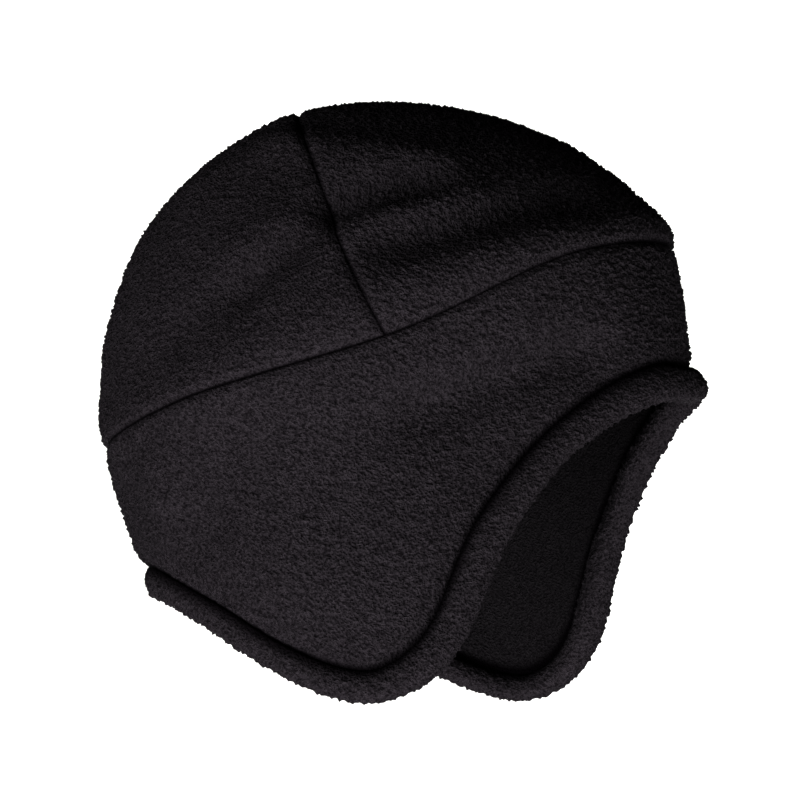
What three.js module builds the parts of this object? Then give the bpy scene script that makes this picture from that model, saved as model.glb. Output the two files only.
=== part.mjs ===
// A close-fitting fleece beanie with ear flaps, in the shape that it has on a head.
// Millimetres, +Z up. The wearer faces -Y, and the wearer's left is +X.
// The origin is where the top of the wearer's head touches the inside of the crown.
import * as THREE from "three";

// Cloth and joins
const FLEECE = 3; // thickness of the fleece, pile included
const GAP = 0.3; // room between neighbouring pieces
const HALF_GAP = GAP / 2;

// The hat's own axis runs down through the crown's apex and leans back, because the hat
// sits higher on the forehead than on the nape. A place on the hat is a turn, in degrees
// from the front towards the wearer's left, and a depth below the apex along that axis.
const LEAN = 18; // degrees
const RIM_DEPTH = 80; // depth of the widest ring, whose centre the half lengths start from
const APEX_BACK = 2; // how far the apex lies behind the centre of that ring

// Half lengths of the outside at each depth. Pinch narrows the sides towards the front.
const FORM = [
  { depth: 0, front: 0, back: 0, side: 0, pinch: 0 },
  { depth: 6, front: 29, back: 33, side: 30, pinch: 0 },
  { depth: 20, front: 58, back: 61, side: 52, pinch: 0 },
  { depth: 45, front: 87, back: 83.5, side: 70, pinch: 0 },
  { depth: 80, front: 104, back: 97.5, side: 82, pinch: 0.04 },
  { depth: 105, front: 102.5, back: 98.5, side: 81, pinch: 0.16 },
  { depth: 130, front: 98.5, back: 95, side: 76, pinch: 0.31 },
  { depth: 165, front: 89, back: 76, side: 75, pinch: 0.32 },
  { depth: 205, front: 63.5, back: 50, side: 71.5, pinch: 0.2 },
];

// The seam between crown and band, and the seam line of the hem's binding
const BAND_SEAM = [
  { turn: 0, depth: 82.5 },
  { turn: 35, depth: 83.5 },
  { turn: 70, depth: 93 },
  { turn: 110, depth: 90.5 },
  { turn: 145, depth: 90 },
  { turn: 180, depth: 87 },
];
const HEM = [
  { turn: 0, depth: 124 },
  { turn: 20, depth: 123 },
  { turn: 40, depth: 129 },
  { turn: 55, depth: 140 },
  { turn: 68, depth: 158 },
  { turn: 80, depth: 184 },
  { turn: 95, depth: 193 },
  { turn: 110, depth: 187 },
  { turn: 122, depth: 174 },
  { turn: 135, depth: 152 },
  { turn: 148, depth: 136 },
  { turn: 162, depth: 131 },
  { turn: 180, depth: 126 },
];
const BINDING_WIDTH = [
  { turn: 0, width: 11.5 },
  { turn: 25, width: 12 },
  { turn: 50, width: 11 },
  { turn: 75, width: 12.5 },
  { turn: 100, width: 10.5 },
  { turn: 125, width: 10.5 },
  { turn: 150, width: 11 },
  { turn: 180, width: 13 },
];

// The crown's side seam, from the apex (run 0) to the band (run 1)
const SIDE_SEAM = [
  { run: 0, turn: 73 },
  { run: 0.5, turn: 75 },
  { run: 0.8, turn: 76 },
  { run: 1, turn: 73.5 },
];

// Soft folds and dents: each runs from one place to the other round the hat, and fades out
// over the last part of its length at both ends. Width is the distance to either side at
// which it has mostly faded, and out is its height.
const FOLDS = [
  { turn: -98, depth: 6, toTurn: -38, toDepth: 48, width: 9, out: 2.6 },
  { turn: -66, depth: 16, toTurn: -136, toDepth: 20, width: 9, out: 1.6 },
  { turn: -86, depth: 42.5, toTurn: -44, toDepth: 48.5, width: 6, out: -4.8 },
  { turn: -88, depth: 54, toTurn: -34, toDepth: 58, width: 7, out: 1.8 },
  { turn: -78, depth: 66, toTurn: -10, toDepth: 65, width: 8, out: -4 },
  { turn: -96, depth: 78, toTurn: -20, toDepth: 74, width: 8, out: 1.4 },
  { turn: -72, depth: 40, toTurn: -106, toDepth: 52, width: 8, out: 1.5 },
  { turn: -66, depth: 45, toTurn: -108, toDepth: 67, width: 7, out: -3.2 },
  { turn: -88, depth: 64, toTurn: -126, toDepth: 68, width: 10, out: -1.8 },
  { turn: -90, depth: 122, toTurn: -22, toDepth: 112, width: 9, out: -5 },
  { turn: -94, depth: 96, toTurn: -132, toDepth: 146, width: 13, out: -2.6 },
  { turn: -128, depth: 96, toTurn: -132, toDepth: 126, width: 11, out: 1.8 },
  { turn: -158, depth: 90, toTurn: -96, toDepth: 91, width: 9, out: 2 },
  { turn: 100, depth: 8, toTurn: 40, toDepth: 46, width: 9, out: 2 },
  { turn: 84, depth: 44, toTurn: 50, toDepth: 48, width: 6, out: -3.6 },
  { turn: 90, depth: 68, toTurn: 12, toDepth: 66, width: 8, out: -3.4 },
  { turn: 94, depth: 78, toTurn: 22, toDepth: 75, width: 8, out: 1.2 },
  { turn: 68, depth: 57, toTurn: 122, toDepth: 62, width: 9, out: -2.6 },
  { turn: 88, depth: 120, toTurn: 24, toDepth: 113, width: 10, out: -3.4 },
  { turn: 98, depth: 96, toTurn: 136, toDepth: 142, width: 13, out: -2.4 },
];
const FOLD_STEPS = 8; // straight stretches that a fold's line is made of
const FOLD_FADE = 0.3; // share of its length over which it fades out at each end

// The crown puffs out above the band, over the seam allowance turned up inside it
const PUFF = [
  { turn: 0, out: 2.2 },
  { turn: 60, out: 2.4 },
  { turn: 120, out: 1.4 },
  { turn: 180, out: 0.4 },
];
const PUFF_ABOVE = 7;
const PUFF_REACH = 9;
// Each seam draws the cloth in along its line
const CROWN_TUCK = { out: -1.6, reach: 2.4 };
const BAND_TUCK = { out: -1.2, reach: 3.5 };

// Half of the binding's section: out from the middle of the band's cloth, and drop below
// the hem's seam line as a share of the binding's width
const ROLL = [
  { out: 1.8, drop: 0 },
  { out: 3.1, drop: 0.09 },
  { out: 4.4, drop: 0.26 },
  { out: 5.4, drop: 0.52 },
  { out: 5.3, drop: 0.74 },
  { out: 3.8, drop: 0.93 },
  { out: 1.1, drop: 1 },
];
const INSIDE_LIP = 0.15; // how much lower it starts on the inside, as a share of its width
const ROLL_FLOOR = 3.6; // cloth left under the slot that holds the band's edge

// Facets
const FRONT_COLUMNS = 30;
const BACK_COLUMNS = 18;
const CROWN_ROWS = 18;
const HEM_COLUMNS = 72;
const BAND_ROWS = 11;
const CROWN_ROW_EASE = 1.6; // above 1 brings the rows closer together towards the seam
const EDGE_EASE = 1.5; // the same for a panel's columns towards its side seams
const BAND_ROW_EASE = 1.4;
const FINE_TURNS = 720; // steps by which the hem is measured

const radians = THREE.MathUtils.degToRad;

// A smooth curve through a table's rows: a cubic Hermite whose slopes are the parabola's
// through each three rows.
function smooth(xs, ys, x) {
  const last = xs.length - 1;
  const slope = (i) => (ys[i + 1] - ys[i]) / (xs[i + 1] - xs[i]);
  const tangent = (i) => {
    if (i === 0) return 2 * slope(0) - tangent(1);
    if (i === last) return 2 * slope(last - 1) - tangent(last - 1);
    const before = xs[i] - xs[i - 1];
    const after = xs[i + 1] - xs[i];
    return (after * slope(i - 1) + before * slope(i)) / (before + after);
  };
  let i = 0;
  while (i < last - 1 && x >= xs[i + 1]) i++;
  const span = xs[i + 1] - xs[i];
  const s = (x - xs[i]) / span;
  return (
    (2 * s ** 3 - 3 * s ** 2 + 1) * ys[i] +
    (s ** 3 - 2 * s ** 2 + s) * span * tangent(i) +
    (3 * s ** 2 - 2 * s ** 3) * ys[i + 1] +
    (s ** 3 - s ** 2) * span * tangent(i + 1)
  );
}

// A table from front (0) to back (180) read at any turn, the same on both sides.
function around(table, column, turn) {
  const rows = [
    ...table.slice(1, 3).reverse().map((row) => [-row.turn, row[column]]),
    ...table.map((row) => [row.turn, row[column]]),
    ...table.slice(-3, -1).reverse().map((row) => [360 - row.turn, row[column]]),
  ];
  const folded = Math.abs(THREE.MathUtils.euclideanModulo(turn + 180, 360) - 180);
  return smooth(rows.map((row) => row[0]), rows.map((row) => row[1]), folded);
}

// A half length read against the root of the depth, which rounds the top of the dome.
const rootDepths = FORM.map((row) => Math.sqrt(row.depth));
function halfLength(column, depth) {
  return smooth(rootDepths, FORM.map((row) => row[column]), Math.sqrt(depth));
}

function pinchAt(depth) {
  return smooth(FORM.map((row) => row.depth), FORM.map((row) => row.pinch), depth);
}

// A place on the smooth outside, from the centre of the widest ring.
function formPoint(turn, depth) {
  const cos = Math.cos(radians(turn));
  const sin = Math.sin(radians(turn));
  const along = halfLength(cos >= 0 ? "front" : "back", depth) * cos;
  const apexShare = Math.max(1 - depth / RIM_DEPTH, 0) ** 1.5;
  const forward = along - APEX_BACK * apexShare;
  const sideways = halfLength("side", depth) * sin * (1 - pinchAt(depth) * cos);
  const point = new THREE.Vector3(sideways, -forward, RIM_DEPTH - depth);
  return point.applyAxisAngle(new THREE.Vector3(1, 0, 0), radians(-LEAN));
}

// The outward direction there, square to the surface's two directions.
function formNormal(turn, depth) {
  const round = formPoint(turn + 0.5, depth).sub(formPoint(turn - 0.5, depth));
  const down = formPoint(turn, depth + 0.05).sub(formPoint(turn, Math.max(depth - 0.05, 0)));
  return down.cross(round).normalize();
}

const foldLines = FOLDS.map((fold) => ({
  ...fold,
  places: Array.from({ length: FOLD_STEPS + 1 }, (_, k) => {
    const share = k / FOLD_STEPS;
    const turn = THREE.MathUtils.lerp(fold.turn, fold.toTurn, share);
    return formPoint(turn, THREE.MathUtils.lerp(fold.depth, fold.toDepth, share));
  }),
}));

// How far a point lies from a fold's line, and at which share of the line's length.
function nearestOnFold(places, point) {
  const found = { distance: Infinity, share: 0 };
  const nearest = new THREE.Vector3();
  for (let k = 0; k < FOLD_STEPS; k++) {
    const stretch = new THREE.Line3(places[k], places[k + 1]);
    const part = stretch.closestPointToPointParameter(point, true);
    const distance = stretch.at(part, nearest).distanceTo(point);
    if (distance < found.distance) {
      found.distance = distance;
      found.share = (k + part) / FOLD_STEPS;
    }
  }
  return found;
}

const bell = (distance, reach) => Math.exp(-((distance / reach) ** 2));

// Height of all folds at a place: a bell curve across each, faded at its ends.
function foldHeight(point) {
  let height = 0;
  for (const { places, width, out } of foldLines) {
    const { distance, share } = nearestOnFold(places, point);
    const fade = THREE.MathUtils.smoothstep(Math.min(share, 1 - share), 0, FOLD_FADE);
    height += out * fade * bell(distance, width);
  }
  return height;
}

// Arc length in millimetres between two turns at one depth, near enough for the seams.
function sideArc(turnA, turnB, depth) {
  const apart = Math.abs(THREE.MathUtils.euclideanModulo(turnA - turnB + 180, 360) - 180);
  return radians(apart) * halfLength("side", depth);
}

// A grid of paired outer and inner places as one closed wall. Rows run down, columns run
// round. A tip closes the top in one pair of places, and a ring joins its last column to
// its first.
class Wall {
  constructor() {
    this.places = [];
    this.faces = [];
  }

  add(point) {
    return this.places.push(point.x, point.y, point.z) / 3 - 1;
  }

  pair({ outer, inner }) {
    return { outer: this.add(outer), inner: this.add(inner) };
  }

  quad(a, b, c, d) {
    this.faces.push(a, b, c, a, c, d);
  }

  // Outer and inner faces of one cell, from its upper left round to its upper right
  cell(upLeft, downLeft, downRight, upRight) {
    this.quad(upLeft.outer, downLeft.outer, downRight.outer, upRight.outer);
    this.quad(upLeft.inner, upRight.inner, downRight.inner, downLeft.inner);
  }

  // The edge of the cloth between two neighbouring pairs
  edge(from, to) {
    this.quad(from.outer, from.inner, to.inner, to.outer);
  }

  geometry() {
    const geometry = new THREE.BufferGeometry();
    geometry.setAttribute("position", new THREE.Float32BufferAttribute(this.places, 3));
    geometry.setIndex(this.faces);
    geometry.computeVertexNormals();
    return geometry;
  }
}

// A panel of the crown between two side seams: one tip, then rows of paired places.
function panelGeometry(tip, rows) {
  const wall = new Wall();
  const top = wall.pair(tip);
  const grid = rows.map((row) => row.map((places) => wall.pair(places)));
  const columns = grid[0].length - 1;
  for (let j = 0; j < columns; j++) {
    wall.faces.push(top.outer, grid[0][j].outer, grid[0][j + 1].outer);
    wall.faces.push(top.inner, grid[0][j + 1].inner, grid[0][j].inner);
    for (let i = 0; i + 1 < grid.length; i++) {
      wall.cell(grid[i][j], grid[i + 1][j], grid[i + 1][j + 1], grid[i][j + 1]);
    }
    wall.edge(grid.at(-1)[j], grid.at(-1)[j + 1]);
  }
  const left = [top, ...grid.map((row) => row[0])];
  const right = [top, ...grid.map((row) => row[columns])];
  for (let i = 0; i + 1 < left.length; i++) {
    wall.edge(left[i], left[i + 1]);
    wall.edge(right[i + 1], right[i]);
  }
  return wall.geometry();
}

// A ring of cloth with a free upper and a free lower edge.
function ringGeometry(rows) {
  const wall = new Wall();
  const grid = rows.map((row) => row.map((places) => wall.pair(places)));
  const columns = grid[0].length;
  for (let j = 0; j < columns; j++) {
    const next = (j + 1) % columns;
    for (let i = 0; i + 1 < grid.length; i++) {
      wall.cell(grid[i][j], grid[i + 1][j], grid[i + 1][next], grid[i][next]);
    }
    wall.edge(grid[0][next], grid[0][j]);
    wall.edge(grid.at(-1)[j], grid.at(-1)[next]);
  }
  return wall.geometry();
}

function sideSeamTurn(run) {
  return smooth(SIDE_SEAM.map((row) => row.run), SIDE_SEAM.map((row) => row.turn), run);
}

// Outer and inner places of the crown's cloth.
function crownPlaces(turn, depth) {
  const point = formPoint(turn, depth);
  const normal = formNormal(turn, depth);
  const seamDepth = around(BAND_SEAM, "depth", turn);
  const aboveSeam = seamDepth - depth;
  const seamTurn = sideSeamTurn(Math.sqrt(Math.min(depth / seamDepth, 1)));
  const toSideSeam = Math.min(
    ...[seamTurn, -seamTurn, 180].map((seam) => sideArc(turn, seam, depth)),
  );
  const puff = around(PUFF, "out", turn) * bell(aboveSeam - PUFF_ABOVE, PUFF_REACH);
  const soft = foldHeight(point) + puff;
  const tuck =
    CROWN_TUCK.out *
    Math.max(bell(aboveSeam, CROWN_TUCK.reach), bell(toSideSeam, CROWN_TUCK.reach));
  return {
    outer: point.clone().addScaledVector(normal, soft + tuck),
    inner: point.clone().addScaledVector(normal, soft - FLEECE),
  };
}

// One panel of the crown, between the turns that its two seams have at each run from the
// apex to the band. Half a gap is left along every seam.
function crownPanel(seamBefore, seamAfter, columns) {
  const rows = [];
  for (let i = 1; i <= CROWN_ROWS; i++) {
    const run = 1 - (1 - i / CROWN_ROWS) ** CROWN_ROW_EASE;
    const row = [];
    for (let j = 0; j <= columns; j++) {
      const middle = (2 * j) / columns - 1;
      const across = Math.sign(middle) * (1 - (1 - Math.abs(middle)) ** EDGE_EASE);
      const share = (across + 1) / 2;
      const plain = THREE.MathUtils.lerp(seamBefore(run), seamAfter(run), share);
      const depth = (around(BAND_SEAM, "depth", plain) - HALF_GAP) * run ** 2;
      const inset = (HALF_GAP / halfLength("side", depth)) * (180 / Math.PI);
      const turn = plain - across * inset;
      row.push(crownPlaces(turn, depth));
    }
    rows.push(row);
  }
  const tipTurn = (seamBefore(0) + seamAfter(0)) / 2;
  const tipDepth = 0.002; // puts the tip about half a millimetre from the apex
  return panelGeometry(crownPlaces(tipTurn, tipDepth), rows);
}

// The hem's seam line in the middle of the cloth, with its directions: out of the hat, and
// drop, which lies in the surface square to the line and points off the edge.
function hemFrame(turn) {
  const place = (at) => {
    const depth = around(HEM, "depth", at);
    const point = formPoint(at, depth);
    return point.addScaledVector(formNormal(at, depth), foldHeight(point) - FLEECE / 2);
  };
  const out = formNormal(turn, around(HEM, "depth", turn));
  const along = place(turn + 0.5).sub(place(turn - 0.5)).normalize();
  const drop = along.clone().cross(out).normalize();
  return { point: place(turn), out, drop, width: around(BINDING_WIDTH, "width", turn) };
}

// Turns of the columns of band and binding, spaced evenly along the hem.
function hemTurns() {
  const fine = FINE_TURNS;
  const lengths = [0];
  for (let k = 1; k <= fine; k++) {
    const before = hemFrame(((k - 1) * 360) / fine).point;
    lengths.push(lengths[k - 1] + hemFrame((k * 360) / fine).point.distanceTo(before));
  }
  const turns = [];
  for (let j = 0, k = 0; j < HEM_COLUMNS; j++) {
    const wanted = (lengths[fine] * j) / HEM_COLUMNS;
    while (lengths[k + 1] <= wanted) k++;
    const share = (wanted - lengths[k]) / (lengths[k + 1] - lengths[k]);
    turns.push(((k + share) * 360) / fine);
  }
  return turns;
}

const columnTurns = hemTurns();
const hemFrames = columnTurns.map(hemFrame);

// The band: one strip round the head, sewn closed at the back, whose two ear flaps are cut
// in one with it. Its lower edge goes on into the binding's slot.
function bandGeometry() {
  const rows = [];
  for (let i = 0; i <= BAND_ROWS; i++) {
    const share = (i / BAND_ROWS) ** BAND_ROW_EASE;
    rows.push(
      columnTurns.map((turn) => {
        const top = around(BAND_SEAM, "depth", turn) + HALF_GAP;
        const depth = THREE.MathUtils.lerp(top, around(HEM, "depth", turn), share);
        const point = formPoint(turn, depth);
        const normal = formNormal(turn, depth);
        const soft = foldHeight(point);
        const toSeam = Math.min(depth - top, sideArc(turn, 180, depth));
        const tuck = BAND_TUCK.out * bell(toSeam, BAND_TUCK.reach) * (1 - share);
        return {
          outer: point.clone().addScaledVector(normal, soft + tuck),
          inner: point.clone().addScaledVector(normal, soft - FLEECE),
        };
      }),
    );
  }
  rows.push(
    hemFrames.map(({ point, out, drop, width }) => {
      const edge = point.clone().addScaledVector(drop, width - ROLL_FLOOR - GAP);
      return {
        outer: edge.clone().addScaledVector(out, FLEECE / 2),
        inner: edge.clone().addScaledVector(out, -FLEECE / 2),
      };
    }),
  );
  return ringGeometry(rows);
}

// The binding: a thick fleece strip folded over the edge of band and flaps, all the way
// round. Its section is swept along the hem's seam line.
function bindingGeometry() {
  const half = FLEECE / 2 + GAP;
  const outside = ROLL.map(({ out, drop }) => ({ out, drop: (width) => drop * width }));
  const inside = ROLL.map(({ out, drop }) => ({
    out: -out,
    drop: (width) => THREE.MathUtils.lerp(INSIDE_LIP, 1, drop) * width,
  }));
  const section = [
    ...outside,
    ...inside.reverse(),
    { out: -half, drop: (width) => width - ROLL_FLOOR },
    { out: half, drop: (width) => width - ROLL_FLOOR },
  ];
  const wall = new Wall();
  const rings = hemFrames.map(({ point, out, drop, width }) =>
    section.map((corner) =>
      wall.add(
        point
          .clone()
          .addScaledVector(out, corner.out)
          .addScaledVector(drop, corner.drop(width)),
      ),
    ),
  );
  // A facet is split from its upper corner to the next column's lower one, as the band's
  // facets are, so that the slot stays parallel to the cloth in it.
  const { width } = hemFrames[0];
  rings.forEach((ring, j) => {
    const nextRing = rings[(j + 1) % rings.length];
    ring.forEach((corner, k) => {
      const after = (k + 1) % ring.length;
      if (section[after].drop(width) > section[k].drop(width)) {
        wall.quad(corner, ring[after], nextRing[after], nextRing[k]);
      } else {
        wall.quad(ring[after], nextRing[after], nextRing[k], corner);
      }
    });
  });
  return wall.geometry();
}

// The highest place inside the crown, along its middle.
function headSeat() {
  let seat = new THREE.Vector3(0, 0, -Infinity);
  for (let depth = 0.1; depth < 20; depth += 0.1) {
    const { inner } = crownPlaces(0, depth);
    if (inner.z > seat.z) seat = inner.clone();
  }
  return seat;
}

function piece(name, geometry, color) {
  const material = new THREE.MeshStandardMaterial({ color, roughness: 1, metalness: 0 });
  const mesh = new THREE.Mesh(geometry, material);
  mesh.name = name;
  return mesh;
}

const CROWN_BLACK = 0x1d1d20;
const BAND_BLACK = 0x202023;
const BINDING_BLACK = 0x232326;

const beanie = new THREE.Group();
beanie.add(
  piece(
    "crown_front",
    crownPanel((run) => -sideSeamTurn(run), sideSeamTurn, FRONT_COLUMNS),
    CROWN_BLACK,
  ),
  piece("crown_back_left", crownPanel(sideSeamTurn, () => 180, BACK_COLUMNS), CROWN_BLACK),
  piece(
    "crown_back_right",
    crownPanel(() => 180, (run) => 360 - sideSeamTurn(run), BACK_COLUMNS),
    CROWN_BLACK,
  ),
  piece("band", bandGeometry(), BAND_BLACK),
  piece("hem_binding", bindingGeometry(), BINDING_BLACK),
);
beanie.position.copy(headSeat()).negate();

export default beanie;
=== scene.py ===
"""An earflap fleece beanie in its worn form: three crown panels, a band cut in one with two
ear flaps, and a thick binding rolled round the hem, all in nubby black fleece."""

import itertools

import bpy
import numpy as np
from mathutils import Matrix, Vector


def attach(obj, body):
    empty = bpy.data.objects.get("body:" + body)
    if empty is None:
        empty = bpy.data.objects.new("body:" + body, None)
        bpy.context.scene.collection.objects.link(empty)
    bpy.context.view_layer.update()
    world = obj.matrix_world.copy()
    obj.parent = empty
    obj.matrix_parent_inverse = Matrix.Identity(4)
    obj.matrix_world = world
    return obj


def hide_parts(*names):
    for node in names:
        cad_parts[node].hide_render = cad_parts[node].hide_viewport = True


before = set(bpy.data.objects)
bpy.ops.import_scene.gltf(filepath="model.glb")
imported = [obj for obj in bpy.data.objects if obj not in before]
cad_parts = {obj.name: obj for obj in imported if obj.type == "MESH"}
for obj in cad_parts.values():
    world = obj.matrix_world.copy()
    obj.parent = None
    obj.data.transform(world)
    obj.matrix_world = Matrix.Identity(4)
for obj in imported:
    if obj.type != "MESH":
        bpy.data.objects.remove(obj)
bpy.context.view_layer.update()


def table(columns, *rows):
    """Rows of numbers under named columns, kept as one array for each column."""
    return dict(zip(columns.split(), np.array(rows, float).T))


# Shapes are worked out in millimetres and turned to metres as each mesh is made.
MM = 0.001

# Cloth and joins
FLEECE = 3  # thickness of the fleece, pile included
SLOT_GAP = 0.3  # room between the band's edge and the slot in the binding
HALF_SEAM_GAP = 0.01  # sewn edges lie this near to their seam line, so no light shows through

# The hat's own axis runs down through the crown's apex and leans back, because the hat sits
# higher on the forehead than on the nape. A place on the hat is a turn, in degrees from the
# front towards the wearer's left, and a depth below the apex along that axis.
LEAN = 18  # degrees
RIM_DEPTH = 80  # depth of the widest ring, whose centre the half lengths start from
APEX_BACK = 2  # how far the apex lies behind the centre of that ring

# Half lengths of the outside at each depth. Pinch narrows the sides towards the front.
FORM = table(
    "depth front back side pinch",
    (0, 0, 0, 0, 0),
    (6, 29, 33, 30, 0),
    (20, 58, 61, 52, 0),
    (45, 87, 83.5, 70, 0),
    (80, 104, 97.5, 82, 0.04),
    (105, 102.5, 98.5, 81, 0.16),
    (130, 98.5, 95, 76, 0.31),
    (165, 89, 76, 75, 0.32),
    (205, 63.5, 50, 71.5, 0.2),
)

# The seam between crown and band, and the seam line of the hem's binding
BAND_SEAM = table(
    "turn depth",
    (0, 82.5),
    (35, 83.5),
    (70, 93),
    (110, 90.5),
    (145, 90),
    (180, 87),
)
HEM = table(
    "turn depth",
    (0, 124),
    (20, 123),
    (40, 129),
    (55, 140),
    (68, 158),
    (80, 184),
    (95, 193),
    (110, 187),
    (122, 174),
    (135, 152),
    (148, 136),
    (162, 131),
    (180, 126),
)
BINDING_WIDTH = table(
    "turn width",
    (0, 11.5),
    (25, 12),
    (50, 11),
    (75, 12.5),
    (100, 10.5),
    (125, 10.5),
    (150, 11),
    (180, 13),
)

# The crown's side seam, from the apex (run 0) to the band (run 1)
SIDE_SEAM = table(
    "run turn",
    (0, 73),
    (0.5, 75),
    (0.8, 76),
    (1, 73.5),
)

# Soft folds and dents: each runs from one place to the other round the hat, and fades out
# over the last part of its length at both ends. Width is the distance to either side at
# which it has mostly faded, and out is its height.
FOLDS = table(
    "turn depth to_turn to_depth width out",
    (-98, 6, -38, 48, 9, 2.6),
    (-66, 16, -136, 20, 9, 1.6),
    (-86, 42.5, -44, 48.5, 6, -4.8),
    (-88, 54, -34, 58, 7, 1.8),
    (-78, 66, -10, 65, 8, -4),
    (-96, 78, -20, 74, 8, 1.4),
    (-72, 40, -106, 52, 8, 1.5),
    (-66, 45, -108, 67, 7, -3.2),
    (-88, 64, -126, 68, 10, -1.8),
    (-90, 122, -22, 112, 9, -5),
    (-94, 96, -132, 146, 13, -2.6),
    (-128, 96, -132, 126, 11, 1.8),
    (-158, 90, -96, 91, 9, 2),
    (100, 8, 40, 46, 9, 2),
    (84, 44, 50, 48, 6, -3.6),
    (90, 68, 12, 66, 8, -3.4),
    (94, 78, 22, 75, 8, 1.2),
    (68, 57, 122, 62, 9, -2.6),
    (88, 120, 24, 113, 10, -3.4),
    (98, 96, 136, 142, 13, -2.4),
)
FOLD_STEPS = 8  # straight stretches that a fold's line is made of
FOLD_FADE = 0.3  # share of its length over which it fades out at each end
FOLD_RELIEF = 1.3  # the cloth folds a little more sharply than its plain solid

# The crown puffs out above the band, over the seam allowance turned up inside it.
PUFF = table(
    "turn out",
    (0, 2.2),
    (60, 2.4),
    (120, 1.4),
    (180, 0.4),
)
PUFF_ABOVE, PUFF_REACH = 7, 9  # its middle above the seam, and its reach up and down

# Each seam draws the cloth in along its line, and so do the binding's lips: how far in, and
# how far to either side of the line.
CROWN_TUCK, CROWN_TUCK_REACH = -1.6, 1.3
BAND_TUCK, BAND_TUCK_REACH = -1.2, 1.5
HEM_TUCK, HEM_TUCK_REACH = -1.1, 2.6
LIP_TUCK, LIP_TUCK_REACH = -0.9, 1.6
# The allowances turned to the inside lie along the seams as a low double ridge.
ALLOWANCE, ALLOWANCE_MIDDLE, ALLOWANCE_REACH = 1.1, 3.4, 2.6
# Next to a seam the stitches press the pile flat, and further out at the hem. The stray tufts are
# left out there, and the pile's colour is darkened towards the seam line as painted seam shade.
CROWN_PRESSED_SHADE_REACH, HEM_PRESSED_SHADE_REACH = 0.5, 1.7

# Half of the binding's section: out from the middle of the band's cloth, and drop below the
# hem's seam line as a share of the binding's width
ROLL = table(
    "out drop",
    (1.8, 0),
    (3.1, 0.09),
    (4.4, 0.26),
    (5.4, 0.52),
    (5.3, 0.74),
    (3.8, 0.93),
    (1.1, 1),
)
INSIDE_LIP = 0.15  # how much lower the binding starts on the inside, as a share of its width
ROLL_FLOOR = 3.6  # cloth left under the slot that holds the band's edge

# The brushed pile is rubbed into clumps with finer curls on them, and stray tufts stand out of
# it and roughen the outline. Each has a size, and a height from its pits to its tops.
CLUMP, CLUMP_HEIGHT = 1.9, 0.4
CURL, CURL_HEIGHT = 0.9, 0.2
TUFT, TUFT_HEIGHT = 1.6, 1.2
TUFT_SHARPNESS = 8  # power that narrows the tufts
TUFT_ROOT = 0.5  # how far below the cloth's own surface the tufts start
SWELL, SWELL_HEIGHT = 14, 0.35  # the cloth's own soft unevenness
CLUMP_SALT, CURL_SALT, SWELL_SALT, TUFT_SALT = 1, 2, 3, 4
# Painted shade in the pile: its colour share at half its height, and how much that share rises
# from the pits to the clumps' tops, so that the pits are darker
TONE_AT_HALF_PILE, TONE_RISE_TO_TOPS = 0.8, 0.4
INSIDE_PILE = 0.5  # height of the pile on the inside, which is sheared lower, as a share
LIP_PILE = 0.3  # the same at the binding's lips

# Cells of the meshes
CROWN_CELL = 0.54  # millimetres
BAND_COLUMNS, BAND_ROWS = 720, 104
BINDING_COLUMNS, ROLL_CELLS = 900, 44
TIP_DEPTH = 0.002  # the crown's panels meet this far below the apex

# Steps over which directions are measured, and points that even spacing is worked out from
TURN_STEP, DEPTH_STEP = 0.5, 0.05
RUN_SAMPLES, HEM_SAMPLES, ROLL_SAMPLES = 400, 1441, 500
SEAT_DEPTHS = np.arange(0.1, 20, 0.1)  # where the highest place inside is looked for


def smooth(xs, ys, x):
    """A cubic Hermite curve through a table's rows, whose slopes are the parabola's through
    each three rows."""
    steps = np.diff(xs)
    slopes = np.diff(ys) / steps
    tangents = np.empty(len(xs))
    tangents[1:-1] = (steps[1:] * slopes[:-1] + steps[:-1] * slopes[1:]) / (steps[1:] + steps[:-1])
    tangents[0] = 2 * slopes[0] - tangents[1]
    tangents[-1] = 2 * slopes[-1] - tangents[-2]
    i = np.clip(np.searchsorted(xs, x, side="right") - 1, 0, len(xs) - 2)
    s = (x - xs[i]) / steps[i]
    return (
        (2 * s**3 - 3 * s**2 + 1) * ys[i]
        + (s**3 - 2 * s**2 + s) * steps[i] * tangents[i]
        + (3 * s**2 - 2 * s**3) * ys[i + 1]
        + (s**3 - s**2) * steps[i] * tangents[i + 1]
    )


def around(rows, column, turn):
    """A table from front (0) to back (180) read at any turn, the same on both sides."""
    turns, values = rows["turn"], rows[column]
    xs = np.concatenate([-turns[2:0:-1], turns, 360 - turns[-2:-4:-1]])
    ys = np.concatenate([values[2:0:-1], values, values[-2:-4:-1]])
    return smooth(xs, ys, np.abs((turn + 180) % 360 - 180))


def half_length(column, depth):
    """A half length read against the root of the depth, which rounds the top of the dome."""
    return smooth(np.sqrt(FORM["depth"]), FORM[column], np.sqrt(depth))


def form_point(turn, depth):
    """A place on the smooth outside, from the centre of the widest ring: an oval of the
    table's half lengths at that depth, set back towards the apex and leaned back."""
    cos, sin = np.cos(np.radians(turn)), np.sin(np.radians(turn))
    along = np.where(cos >= 0, half_length("front", depth), half_length("back", depth)) * cos
    forward = along - APEX_BACK * np.maximum(1 - depth / RIM_DEPTH, 0) ** 1.5
    pinch = smooth(FORM["depth"], FORM["pinch"], depth)
    sideways = half_length("side", depth) * sin * (1 - pinch * cos)
    height = RIM_DEPTH - depth
    lean_cos, lean_sin = np.cos(np.radians(LEAN)), np.sin(np.radians(LEAN))
    return np.stack(
        [
            sideways,
            height * lean_sin - forward * lean_cos,
            height * lean_cos + forward * lean_sin,
        ],
        axis=-1,
    )


def unit(vectors):
    """The vectors at length 1."""
    return vectors / np.linalg.norm(vectors, axis=-1, keepdims=True)


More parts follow.
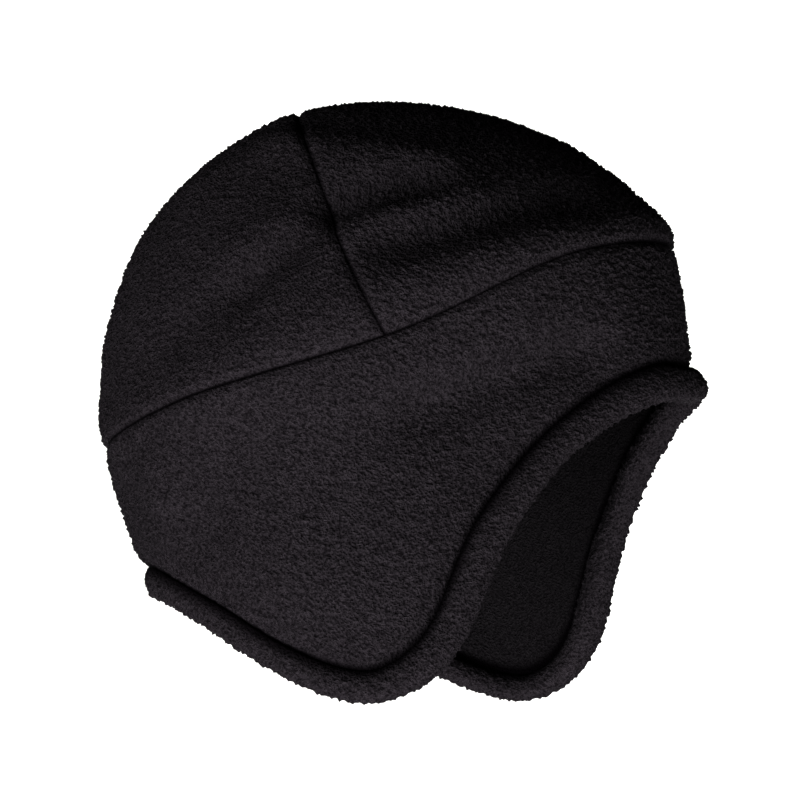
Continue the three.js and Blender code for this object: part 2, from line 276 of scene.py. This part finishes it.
def form_normal(turn, depth):
    """The outward direction there: square to a short step round and a short step down."""
    across = form_point(turn + TURN_STEP, depth) - form_point(turn - TURN_STEP, depth)
    above = np.maximum(depth - DEPTH_STEP, 0)
    down = form_point(turn, depth + DEPTH_STEP) - form_point(turn, above)
    return unit(np.cross(down, across))


def bell(distance, reach):
    """A bell curve: 1 on the line, and mostly faded at the reach."""
    return np.exp(-((distance / reach) ** 2))


def fold_height(points, relief=FOLD_RELIEF):
    """Height of all folds at each point: for each fold a bell curve of the distance to its
    line, faded out towards the line's two ends."""
    shares = np.linspace(0, 1, FOLD_STEPS + 1)
    height = np.zeros(points.shape[:-1])
    for turn, depth, to_turn, to_depth, width, out in zip(*FOLDS.values()):
        line = form_point(turn + (to_turn - turn) * shares, depth + (to_depth - depth) * shares)
        distance = np.full(height.shape, np.inf)
        share = np.zeros(height.shape)
        for k, (start, step) in enumerate(zip(line, np.diff(line, axis=0))):
            part = np.clip((points - start) @ step / (step @ step), 0, 1)
            here = np.linalg.norm(points - start - part[..., None] * step, axis=-1)
            share = np.where(here < distance, (k + part) / FOLD_STEPS, share)
            distance = np.minimum(here, distance)
        end = np.clip(np.minimum(share, 1 - share) / FOLD_FADE, 0, 1)
        height += out * end**2 * (3 - 2 * end) * bell(distance, width)
    return height * relief


def strewn(cells, salt):
    """Three numbers from 0 to 1 for each cell of a lattice, mixed from its whole-number
    place, so that they are the same in each run."""
    place = cells.astype(np.int64).astype(np.uint32)
    mixed = place[..., 0] * np.uint32(73856093)
    mixed ^= place[..., 1] * np.uint32(19349663)
    mixed ^= place[..., 2] * np.uint32(83492791)
    numbers = []
    for k in range(3):
        part = mixed + np.uint32(2654435769 * (salt * 3 + k + 1) % 2**32)
        for _ in range(2):
            part = (part ^ (part >> np.uint32(16))) * np.uint32(73244475)
        numbers.append((part ^ (part >> np.uint32(16))) / 2**32)
    return np.stack(numbers, axis=-1)


def clumps(points, size, salt):
    """Rounded clumps of pile, 1 on their tops and 0 in the pits between them: one less the
    squared distance to the nearest clump's middle, with one middle strewn in each cell."""
    scaled = points / size
    cell = np.floor(scaled)
    nearest = np.ones(len(points))
    for step in itertools.product((-1, 0, 1), repeat=3):
        middle = cell + step + strewn(cell + step, salt)
        nearest = np.minimum(nearest, ((scaled - middle) ** 2).sum(axis=-1))
    return 1 - nearest


def swells(points, size, salt):
    """Soft unevenness from -1 to 1: numbers strewn on a lattice and blended between its
    corners with smooth steps."""
    scaled = points / size
    cell = np.floor(scaled)
    ease = scaled - cell
    ease = ease**2 * (3 - 2 * ease)
    total = np.zeros(len(points))
    for corner in itertools.product((0, 1), repeat=3):
        weight = np.where(np.array(corner) == 1, ease, 1 - ease).prod(axis=-1)
        total += weight * (2 * strewn(cell + corner, salt)[..., 0] - 1)
    return total


def pile_height(points):
    """The pile's height over the smooth cloth: clumps, with finer curls on them."""
    return CLUMP_HEIGHT * (clumps(points, CLUMP, CLUMP_SALT) - 0.5) + CURL_HEIGHT * (
        clumps(points, CURL, CURL_SALT) - 0.5
    )


def tuft_height(points):
    """Height of the stray tufts, which are the narrow middles of another set of clumps."""
    return TUFT_HEIGHT * np.maximum(clumps(points, TUFT, TUFT_SALT), 0) ** TUFT_SHARPNESS


def side_seam_turn(run):
    """The turn of the crown's side seam at a run, the root of the share of the depth."""
    return smooth(SIDE_SEAM["run"], SIDE_SEAM["turn"], run)


def side_arc(turn, seam, depth):
    """Arc length in millimetres between two turns at one depth, near enough for the seams."""
    apart = np.abs((turn - seam + 180) % 360 - 180)
    return np.radians(apart) * half_length("side", depth)


def crown_places(turn, depth):
    """Outer and inner places of the crown's cloth: the smooth form moved out along its normal
    by the folds and the puff above the band, and drawn in along the seams."""
    point = form_point(turn, depth)
    normal = form_normal(turn, depth)
    seam_depth = around(BAND_SEAM, "depth", turn)
    above_seam = seam_depth - depth
    seam_turn = side_seam_turn(np.sqrt(np.minimum(depth / seam_depth, 1)))
    to_side_seam = np.minimum(
        np.minimum(side_arc(turn, seam_turn, depth), side_arc(turn, -seam_turn, depth)),
        side_arc(turn, 180, depth),
    )
    puff = around(PUFF, "out", turn) * bell(above_seam - PUFF_ABOVE, PUFF_REACH)
    soft = fold_height(point) + puff
    to_seam = np.minimum(above_seam, to_side_seam)
    tuck = CROWN_TUCK * bell(to_seam, CROWN_TUCK_REACH)
    ridge = ALLOWANCE * bell(to_seam - ALLOWANCE_MIDDLE, ALLOWANCE_REACH)
    return (
        point + normal * (soft + tuck)[..., None],
        point + normal * (soft - FLEECE - ridge)[..., None],
        normal,
        # how flat the seams press the pile, which also darkens its colour towards them as painted
        # seam shade
        bell(to_seam, CROWN_PRESSED_SHADE_REACH),
    )


def head_seat():
    """The highest place inside the crown's plain cloth, along its middle."""
    turn = np.zeros(len(SEAT_DEPTHS))
    point = form_point(turn, SEAT_DEPTHS)
    soft = fold_height(point, 1)
    inside = point + form_normal(turn, SEAT_DEPTHS) * (soft - FLEECE)[..., None]
    return inside[inside[:, 2].argmax()]


SEAT = head_seat()


def fan_grid(rows, sectors):
    """A panel's grid, whose rows widen by one cell in each sector from a single point at the
    tip: row and column of each point, triangles, and the loop of points round its edge."""
    counts = sectors * np.arange(rows + 1) + 1
    starts = np.cumsum(counts) - counts
    row = np.repeat(np.arange(rows + 1), counts)
    column = np.arange(counts.sum()) - starts[row]
    triangles = []
    for i, sector in itertools.product(range(rows), range(sectors)):
        up = starts[i] + sector * i + np.arange(i + 1)
        down = starts[i + 1] + sector * (i + 1) + np.arange(i + 1)
        triangles.append(np.stack([up, down, down + 1], axis=1))
        triangles.append(np.stack([up[:-1], down[1:], up[1:]], axis=1))
    ends = starts + counts - 1
    loop = np.concatenate([starts, np.arange(starts[-1] + 1, ends[-1]), ends[::-1]])
    return row, column, np.concatenate(triangles), loop


def ring_grid(rows, columns, closed=False):
    """Triangles of a ring of cells, whose last column is joined to its first, and where it is
    closed its last row too."""
    here = np.arange(rows * columns).reshape(rows, columns)
    if closed:
        here = np.concatenate([here, here[:1]])
    after = np.roll(here, -1, axis=1)
    upper = np.stack([here[:-1], here[1:], after[1:]], axis=-1)
    lower = np.stack([here[:-1], after[1:], after[:-1]], axis=-1)
    return np.concatenate([upper.reshape(-1, 3), lower.reshape(-1, 3)])


def ring_loop(size, row, start):
    """Points of one row of a ring's grid, whose own first point is start, and back to the
    row's first."""
    ring = np.arange(size[1]) + row * size[1] + start
    return np.concatenate([ring, ring[:1]])


def stitch(outer, inner):
    """Triangles of the cloth's edge between a loop of outer points and one of inner points
    with half as many steps: three for each inner step."""
    start, middle, end = outer[:-2:2], outer[1::2], outer[2::2]
    near, far = inner[:-1], inner[1:]
    corners = [(start, near, middle), (middle, near, far), (middle, far, end)]
    return np.concatenate([np.stack(three, axis=1) for three in corners])


def add_node(tree, kind, inputs=None, **settings):
    """One node with its settings, and its inputs as values or as links from other nodes."""
    node = tree.nodes.new(kind)
    for name, value in settings.items():
        setattr(node, name, value)
    for name, value in (inputs or {}).items():
        if isinstance(value, bpy.types.NodeSocket):
            tree.links.new(value, node.inputs[name])
        else:
            node.inputs[name].default_value = value
    return node


def linear(hex_colour):
    """An sRGB hex colour as linear red, green and blue."""
    levels = [int(hex_colour[i : i + 2], 16) / 255 for i in (1, 3, 5)]
    return [v / 12.92 if v <= 0.04045 else ((v + 0.055) / 1.055) ** 2.4 for v in levels]


def material_tree(name):
    """A new material and its empty node tree."""
    material = bpy.data.materials.new(name)
    material.use_nodes = True
    material.node_tree.nodes.clear()
    return material, material.node_tree


# The finish of the fleece, under the clumps and curls of the mesh
CLUMP_NAPS = 1.4  # size of the clumps in the finish, as a multiple of its curls
CLUMP_PIT = -0.3  # how much the pits between those clumps sink, against the curls' height of 1
# The colour follows the finish's height, darker where it is lower: painted shade in the pits
PIT_LEVEL, TIP_LEVEL = 0.16, 0.42  # heights where the pile is darkest and palest
PIT_SHARE = 0.3  # share of the tips' colour that is left in the pits
FINISH_DEPTH = 2.2 * MM  # height that the curls seem to have


def brushed_fleece(name, pit, tip, nap):
    """Polyester fleece, knitted, raised and sheared. Its fibres scatter light in all
    directions, so it has no gloss, and its edges don't glow. The pile is rubbed into clumps,
    and its colour is darker in the pits between them than on their tips: painted shade. The
    mesh's own pile values darken it further, painted shade in the mesh's pits and along the
    seams. nap is the size of the finest curls in millimetres, drawn a little coarser than
    the real ones so that they show."""
    material, tree = material_tree(name)
    place = add_node(tree, "ShaderNodeTexCoord").outputs["Object"]
    curl = add_node(
        tree,
        "ShaderNodeTexNoise",
        {"Vector": place, "Scale": 1 / (nap * MM), "Detail": 2.0, "Roughness": 0.55},
    )
    clump = add_node(
        tree,
        "ShaderNodeTexVoronoi",
        {"Vector": place, "Scale": 1 / (CLUMP_NAPS * nap * MM), "Randomness": 1.0},
        feature="F1",
    )
    height = add_node(
        tree,
        "ShaderNodeMath",
        {0: clump.outputs["Distance"], 1: CLUMP_PIT, 2: curl.outputs["Fac"]},
        operation="MULTIPLY_ADD",
    )
    # paler on the finish's high places and darker in its low ones: painted shade in the pits
    finish_pit_shaded_tone = add_node(
        tree,
        "ShaderNodeMapRange",
        {
            "Value": height.outputs["Value"],
            "From Min": PIT_LEVEL,
            "From Max": TIP_LEVEL,
            "To Min": PIT_SHARE,
        },
    )
    pile_and_shade = add_node(tree, "ShaderNodeAttribute", attribute_name="pile_and_shade")
    shade = add_node(
        tree,
        "ShaderNodeMath",
        {0: finish_pit_shaded_tone.outputs["Result"], 1: pile_and_shade.outputs["Fac"]},
        operation="MULTIPLY",
        use_clamp=True,
    )
    colour = add_node(
        tree,
        "ShaderNodeMix",
        {"Factor": shade.outputs["Value"], "A": (*linear(pit), 1), "B": (*linear(tip), 1)},
        data_type="RGBA",
    )
    bump = add_node(
        tree,
        "ShaderNodeBump",
        {"Height": height.outputs["Value"], "Distance": FINISH_DEPTH, "Strength": 1.0},
    )
    shader = add_node(
        tree,
        "ShaderNodeBsdfPrincipled",
        {
            "Base Color": colour.outputs["Result"],
            "Roughness": 0.95,
            "Specular IOR Level": 0.02,
            "Sheen Weight": 0.0,
            "Normal": bump.outputs["Normal"],
        },
    )
    add_node(tree, "ShaderNodeOutputMaterial", {"Surface": shader.outputs["BSDF"]})
    return material


# The fleece's black, from the darker colour of the pits, which is painted shade, to that of the
# tips
PIT, TIP = "#050305", "#2a272a"
CROWN_FLEECE = brushed_fleece("crown_brushed_black_fleece", PIT, TIP, 0.85)
BAND_FLEECE = brushed_fleece("band_brushed_black_fleece", PIT, TIP, 0.85)
BINDING_FLEECE = brushed_fleece("binding_brushed_black_fleece", PIT, TIP, 0.85)
# The side towards the head is sheared shorter, which makes it finer. Its darker tip colour is
# painted shade for the inside of the hat.
INSIDE_SHADED_FLEECE = brushed_fleece("inside_sheared_shaded_black_fleece", PIT, "#201e20", 0.7)


def add_piece(name, node, points, faces, materials, pile_and_shade):
    """One closed piece of cloth in place of its solid, from points in millimetres and groups
    of triangles. The second group is the side towards the head, with the second finish, whose
    darker colour is painted shade."""
    triangles = np.concatenate(faces)
    inside = np.concatenate([np.full(len(group), k == 1) for k, group in enumerate(faces)])
    mesh = bpy.data.meshes.new(name)
    mesh.vertices.add(len(points))
    mesh.vertices.foreach_set("co", ((points - SEAT) * MM).ravel())
    mesh.loops.add(triangles.size)
    mesh.loops.foreach_set("vertex_index", triangles.astype(np.int32).ravel())
    mesh.polygons.add(len(triangles))
    mesh.polygons.foreach_set("loop_start", np.arange(0, triangles.size, 3, dtype=np.int32))
    mesh.polygons.foreach_set("material_index", inside.astype(np.int32))
    mesh.update(calc_edges=True)
    mesh.shade_smooth()
    mesh.attributes.new("pile_and_shade", "FLOAT", "POINT").data.foreach_set("value", pile_and_shade)
    for material in materials:
        mesh.materials.append(material)
    piece = bpy.data.objects.new(name, mesh)
    bpy.context.scene.collection.objects.link(piece)
    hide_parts(node)
    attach(piece, "root")
    return piece


def with_pile(points, normal, share, pressed_and_seam_shade):
    """The points raised by a share of the pile along their normals, and the pile's colour
    share, which paints shade: most on the clumps' tops, less in the pits, and 0 along a seam,
    where the pile is pressed flat and the tufts are left out."""
    pile_and_shade = pile_height(points) * share
    rise = pile_and_shade + SWELL_HEIGHT * share * swells(points, SWELL, SWELL_SALT)
    rise += (tuft_height(points) - TUFT_ROOT) * share * (1 - pressed_and_seam_shade)
    # colour share from the pile's height: painted shade, darker in the pits between clumps
    pit_shaded_tone = TONE_AT_HALF_PILE + TONE_RISE_TO_TOPS * pile_and_shade / (CLUMP_HEIGHT + CURL_HEIGHT)
    return points + normal * rise[..., None], np.float32(pit_shaded_tone * (1 - pressed_and_seam_shade))


def grid_with_pile(grid, normal, share, pressed_and_seam_shade):
    """The same for a grid of points, as one list."""
    return with_pile(grid.reshape(-1, 3), normal.reshape(-1, 3), share.ravel(), pressed_and_seam_shade.ravel())


def lengths_along(steps):
    """How far along a line each of its points is, from the lengths of its steps."""
    return np.concatenate([[0], steps.cumsum()])


def even_runs(turn, rows):
    """Runs from apex to band whose places are evenly spaced along the crown at one turn."""
    fine = np.linspace(0, 1, RUN_SAMPLES)
    line = form_point(turn, around(BAND_SEAM, "depth", turn) * fine**2)
    lengths = lengths_along(np.linalg.norm(np.diff(line, axis=0), axis=1))
    return np.interp(np.linspace(0, lengths[-1], rows + 1), lengths, fine), lengths[-1]


def crown_panel(name, seam_before, seam_after, sectors):
    """One panel of the crown between the turns that its two seams have at each run from the
    apex to the band, with half a gap left along every seam. The cells of its inner grid are
    twice as long as the outer ones."""
    middle = (seam_before(0.5) + seam_after(0.5)) / 2
    rows = 2 * round(even_runs(middle, 2)[1] / CROWN_CELL / 2)
    runs = even_runs(middle, rows)[0]

    def places(row, column, step):
        run = runs[row * step]
        share = np.where(row > 0, column / np.maximum(sectors * row, 1), 0.5)
        plain = seam_before(run) + (seam_after(run) - seam_before(run)) * share
        seam_depth = around(BAND_SEAM, "depth", plain) - HALF_SEAM_GAP
        depth = np.maximum(seam_depth * run**2, TIP_DEPTH)
        inset = np.degrees(HALF_SEAM_GAP / half_length("side", depth))
        return crown_places(plain - (2 * share - 1) * inset, depth)

    row, column, outer_faces, outer_loop = fan_grid(rows, sectors)
    outer, _, normal, pressed_and_seam_shade = places(row, column, 1)
    row, column, inner_faces, inner_loop = fan_grid(rows // 2, sectors)
    _, inner, inner_normal, inner_pressed_and_seam_shade = places(row, column, 2)
    outer, outer_pile_and_shade = with_pile(outer, normal, 1, pressed_and_seam_shade)
    inner, inner_pile_and_shade = with_pile(inner, -inner_normal, INSIDE_PILE, inner_pressed_and_seam_shade)
    start = len(outer)
    edge = stitch(outer_loop, inner_loop + start)
    panel = add_piece(
        name + "_panel",
        name,
        np.concatenate([outer, inner]),
        [outer_faces, inner_faces[:, ::-1] + start, edge],
        [CROWN_FLEECE, INSIDE_SHADED_FLEECE],
        np.concatenate([outer_pile_and_shade, inner_pile_and_shade]),
    )
    return panel


def hem_place(turn):
    """The hem's seam line in the middle of the cloth."""
    depth = around(HEM, "depth", turn)
    point = form_point(turn, depth)
    rise = fold_height(point) - FLEECE / 2
    return point + form_normal(turn, depth) * rise[..., None]


def hem_frame(turn):
    """The seam line with its directions: out of the hat, and drop, which lies in the surface
    square to the line and points off the edge."""
    out = form_normal(turn, around(HEM, "depth", turn))
    along = unit(hem_place(turn + TURN_STEP) - hem_place(turn - TURN_STEP))
    drop = unit(np.cross(along, out))
    return hem_place(turn), out, drop, around(BINDING_WIDTH, "width", turn)


def hem_turns(columns):
    """Turns of columns that are spaced evenly along the hem."""
    fine = np.linspace(0, 360, HEM_SAMPLES)
    lengths = lengths_along(np.linalg.norm(np.diff(hem_place(fine), axis=0), axis=1))
    return np.interp(np.arange(columns) / columns * lengths[-1], lengths, fine)


def band_rows(turns, shares):
    """Outer and inner places of the band from the crown's seam (share 0) to the hem's (1)."""
    top = around(BAND_SEAM, "depth", turns) + HALF_SEAM_GAP
    share, turn = np.meshgrid(shares, turns, indexing="ij")
    depth = top + (around(HEM, "depth", turns) - top) * share
    point = form_point(turn, depth)
    normal = form_normal(turn, depth)
    soft = fold_height(point)
    to_seam = np.minimum(depth - top, side_arc(turn, 180, depth))
    to_hem = np.linalg.norm(point - point[-1], axis=-1)
    tuck = BAND_TUCK * bell(to_seam, BAND_TUCK_REACH) * (1 - share)
    hem_tuck = HEM_TUCK * bell(to_hem, HEM_TUCK_REACH)
    ridge = ALLOWANCE * bell(to_seam - ALLOWANCE_MIDDLE, ALLOWANCE_REACH) * (1 - share)
    outer = point + normal * (soft + tuck + hem_tuck)[..., None]
    inner = point + normal * (soft - FLEECE - ridge - hem_tuck)[..., None]
    # pile pressed flat at the seams and hem, and its colour darkened there as painted seam shade
    pressed_and_seam_shade = np.maximum(bell(to_seam, CROWN_PRESSED_SHADE_REACH), bell(to_hem, HEM_PRESSED_SHADE_REACH))
    return outer, inner, normal, pressed_and_seam_shade


def band_edge(turns):
    """The band's edge inside the binding's slot."""
    point, out, drop, width = hem_frame(turns)
    edge = point + drop * (width - ROLL_FLOOR - SLOT_GAP)[..., None]
    half = out * (FLEECE / 2 + HEM_TUCK)
    return edge + half, edge - half, out


def band_side(step, share):
    """The band's outside at every column (step 1) or its inside at every second (step 2),
    down to the edge in the binding's slot, with a share of the pile: points, the pile's
    colour share with its painted shade, and rows and columns."""
    turns = hem_turns(BAND_COLUMNS)[::step]
    *sides, normal, pressed_and_seam_shade = band_rows(turns, np.linspace(0, 1, BAND_ROWS // step + 1))
    *edges, edge_normal = band_edge(turns)
    grid = np.concatenate([sides[step - 1], edges[step - 1][None]])
    facing = 1 if step == 1 else -1
    normal = np.concatenate([normal, edge_normal[None]]) * facing
    shares = np.full(grid.shape[:2], share)
    shares[-1] = 0
    pressed_and_seam_shade = np.concatenate([pressed_and_seam_shade, pressed_and_seam_shade[-1:]])
    return *grid_with_pile(grid, normal, shares, pressed_and_seam_shade), grid.shape[:2]


def band_piece():
    """The band: one strip round the head, sewn closed at the back, whose two ear flaps are
    cut in one with it. Its lower edge goes on into the binding's slot."""
    outer, outer_pile_and_shade, size = band_side(1, 1.0)
    inner, inner_pile_and_shade, half = band_side(2, INSIDE_PILE)
    start = len(outer)
    top = stitch(ring_loop(size, 0, 0), ring_loop(half, 0, start))[:, ::-1]
    bottom = stitch(ring_loop(size, size[0] - 1, 0), ring_loop(half, half[0] - 1, start))
    return add_piece(
        "band_with_ear_flaps",
        "band",
        np.concatenate([outer, inner]),
        [ring_grid(*size), ring_grid(*half)[:, ::-1] + start, top, bottom],
        [BAND_FLEECE, INSIDE_SHADED_FLEECE],
        np.concatenate([outer_pile_and_shade, inner_pile_and_shade]),
    )


def roll_section():
    """The binding's outside as out and drop, from the lip on the outside of the cloth over
    the rolled edge to the lip on the inside, at evenly spaced places of a smooth curve."""
    outs = np.concatenate([ROLL["out"], -ROLL["out"][::-1]])
    inside = INSIDE_LIP + (1 - INSIDE_LIP) * ROLL["drop"][::-1]
    drops = np.concatenate([ROLL["drop"], inside])
    corners = np.arange(len(outs), dtype=float)
    fine = np.linspace(0, corners[-1], ROLL_SAMPLES)
    out, drop = smooth(corners, outs, fine), smooth(corners, drops, fine)
    usual_width = BINDING_WIDTH["width"].mean()
    lengths = lengths_along(np.hypot(np.diff(out), np.diff(drop) * usual_width))
    even = np.linspace(0, lengths[-1], ROLL_CELLS + 1)
    return np.interp(even, lengths, out), np.interp(even, lengths, drop)


def binding_piece():
    """The binding: a thick fleece strip folded over the edge of band and flaps, all the way
    round. Its section is carried along the hem's seam line, and ends in the slot's floor."""
    turns = hem_turns(BINDING_COLUMNS)
    point, out, drop, width = hem_frame(turns)
    outs, shares = roll_section()
    lips = [0, len(shares) - 1]
    half_slot = FLEECE / 2 + SLOT_GAP
    drops = np.concatenate([shares[:, None] * width, np.tile(width - ROLL_FLOOR, (2, 1))])
    outs = np.concatenate([outs, [-half_slot, half_slot]])[:, None]
    below_lip = drops - np.where(outs > 0, *drops[lips])
    below_lip[len(shares) :] = 0
    outs = outs + np.sign(outs) * LIP_TUCK * bell(below_lip, LIP_TUCK_REACH)
    # pile pressed flat below the lips, and its colour darkened there as painted shade in the
    # groove
    pressed_and_seam_shade = bell(below_lip, HEM_PRESSED_SHADE_REACH)
    grid = point + out * outs[..., None] + drop * drops[..., None]
    across = np.roll(grid, -1, axis=0) - np.roll(grid, 1, axis=0)
    along = np.roll(grid, -1, axis=1) - np.roll(grid, 1, axis=1)
    share = np.ones(grid.shape[:2])
    share[lips] = LIP_PILE
    share[len(shares) :] = 0
    points, pile_and_shade = grid_with_pile(grid, unit(np.cross(across, along)), share, pressed_and_seam_shade)
    return add_piece(
        "hem_binding_roll",
        "hem_binding",
        points,
        [ring_grid(*grid.shape[:2], closed=True)],
        [BINDING_FLEECE],
        pile_and_shade,
    )


def towards(azimuth, elevation):
    """The direction to a place round the hat, from degrees round from the front and up."""
    turn, rise = np.radians([azimuth, elevation])
    return Vector((np.sin(turn) * np.cos(rise), -np.cos(turn) * np.cos(rise), np.sin(rise)))


# Where the camera stood, from the fit of the hat's outline to the picture
AZIMUTH, ELEVATION = -69, -3.5  # degrees
CAMERA_DISTANCE = 1.8  # metres from the centre of the widest ring
PICTURE = 800  # pixels
PIXELS_PER_MM = 3.0
RING_PIXEL = (377, 340)  # where that centre shows in the picture
SENSOR = 36  # millimetres


def add_camera():
    """The camera, turned so that the widest ring's centre falls on its pixel."""
    back = towards(AZIMUTH, ELEVATION)
    right = Vector((np.cos(np.radians(AZIMUTH)), np.sin(np.radians(AZIMUTH)), 0))
    up = back.cross(right)
    ring = Vector(-SEAT * MM)
    per_pixel = MM / PIXELS_PER_MM
    aim = (
        ring
        + right * (PICTURE / 2 - RING_PIXEL[0]) * per_pixel
        - up * (PICTURE / 2 - RING_PIXEL[1]) * per_pixel
    )
    camera = bpy.data.objects.new("camera", bpy.data.cameras.new("camera"))
    camera.data.sensor_width = SENSOR
    camera.data.lens = SENSOR * CAMERA_DISTANCE / (PICTURE * per_pixel)
    camera.location = ring + back * CAMERA_DISTANCE
    camera.rotation_euler = (camera.location - aim).to_track_quat("Z", "Y").to_euler()
    bpy.context.scene.collection.objects.link(camera)
    bpy.context.scene.camera = camera


# The studio, in metres: a round pale floor that curves up into a low wall
FLOOR_Z = -1.2
FLOOR_RADIUS = 2.6
FLOOR_RINGS = (0, 0.5, 1.5)  # radii of the flat part's inner rings
COVE_RADIUS = 1.2
WALL_TOP = 0.7
COVE_ROWS, COVE_COLUMNS = 13, 96
PAPER_GLOW = 0.42

# Square soft lights at one distance round the hat: azimuth and elevation in degrees, and
# watts. They stand low on the near side, because in the picture the crown's top is darkest,
# and one on the far side shows the seams there.
LIGHT_DISTANCE, LIGHT_SIZE = 1.3, 0.7
LIGHT_CENTRE = (0, 0, -0.1)
LIGHTS = {
    "low_side_light": (-69, -40, 32),
    "low_front_light": (-21, -45, 33),
    "back_light": (-119, -18, 35),
    "high_back_light": (-113, 4, 15),
    "far_side_light": (112, -4, 60),
}
VIEW_GAMMA = 0.7  # deepens the shadows, as the picture's tones do


def pale_paper():
    """Matt white background paper, lit evenly from behind, as in a light tent."""
    material, tree = material_tree("pale_background_paper")
    shader = add_node(
        tree,
        "ShaderNodeBsdfPrincipled",
        {
            "Base Color": (*linear("#f4f4f2"), 1),
            "Roughness": 1.0,
            "Specular IOR Level": 0.0,
            "Emission Color": (1, 1, 1, 1),
            "Emission Strength": PAPER_GLOW,
        },
    )
    add_node(tree, "ShaderNodeOutputMaterial", {"Surface": shader.outputs["BSDF"]})
    return material


def add_floor():
    """A flat disc, a quarter circle up from its rim and a straight wall, turned round the
    hat's upright axis."""
    bend = np.linspace(0, np.pi / 2, COVE_ROWS)
    flat = np.zeros(len(FLOOR_RINGS))
    radii = np.concatenate([FLOOR_RINGS, FLOOR_RADIUS + COVE_RADIUS * np.sin(bend)])
    heights = np.concatenate([flat, COVE_RADIUS * (1 - np.cos(bend))]) + FLOOR_Z
    radii = np.append(radii, radii[-1])
    heights = np.append(heights, WALL_TOP)
    turns = np.linspace(0, 2 * np.pi, COVE_COLUMNS, endpoint=False)
    rings = np.stack(
        [
            radii[:, None] * np.cos(turns),
            radii[:, None] * np.sin(turns),
            np.repeat(heights[:, None], COVE_COLUMNS, axis=1),
        ],
        axis=-1,
    )
    mesh = bpy.data.meshes.new("floor")
    faces = ring_grid(len(radii), COVE_COLUMNS)
    mesh.from_pydata(rings.reshape(-1, 3).tolist(), [], faces.tolist())
    mesh.shade_smooth()
    mesh.materials.append(pale_paper())
    floor = bpy.data.objects.new("floor", mesh)
    bpy.context.scene.collection.objects.link(floor)


def add_light(name, azimuth, elevation, watts):
    """A square soft light that faces the hat from a direction round it."""
    back = towards(azimuth, elevation)
    light = bpy.data.objects.new(name, bpy.data.lights.new(name, "AREA"))
    light.data.size = LIGHT_SIZE
    light.data.energy = watts
    light.location = Vector(LIGHT_CENTRE) + back * LIGHT_DISTANCE
    light.rotation_euler = back.to_track_quat("Z", "Y").to_euler()
    light.visible_camera = False
    bpy.context.scene.collection.objects.link(light)


def add_studio():
    """Floor, lights and a black world, and how the camera renders tones."""
    add_floor()
    for name, light in LIGHTS.items():
        add_light(name, *light)
    world = bpy.data.worlds.new("studio")
    world.use_nodes = True
    world.node_tree.nodes["Background"].inputs["Color"].default_value = (1, 1, 1, 1)
    world.node_tree.nodes["Background"].inputs["Strength"].default_value = 0
    bpy.context.scene.world = world
    bpy.context.scene.view_settings.view_transform = "Standard"
    bpy.context.scene.view_settings.gamma = VIEW_GAMMA


add_camera()
add_studio()
crown_front = crown_panel(
    "crown_front",
    lambda run: -side_seam_turn(run),
    side_seam_turn,
    2,
)
crown_back_left = crown_panel(
    "crown_back_left",
    side_seam_turn,
    lambda run: 180 + 0 * run,
    1,
)
crown_back_right = crown_panel(
    "crown_back_right",
    lambda run: 180 + 0 * run,
    lambda run: 360 - side_seam_turn(run),
    1,
)
band = band_piece()
binding = binding_piece()
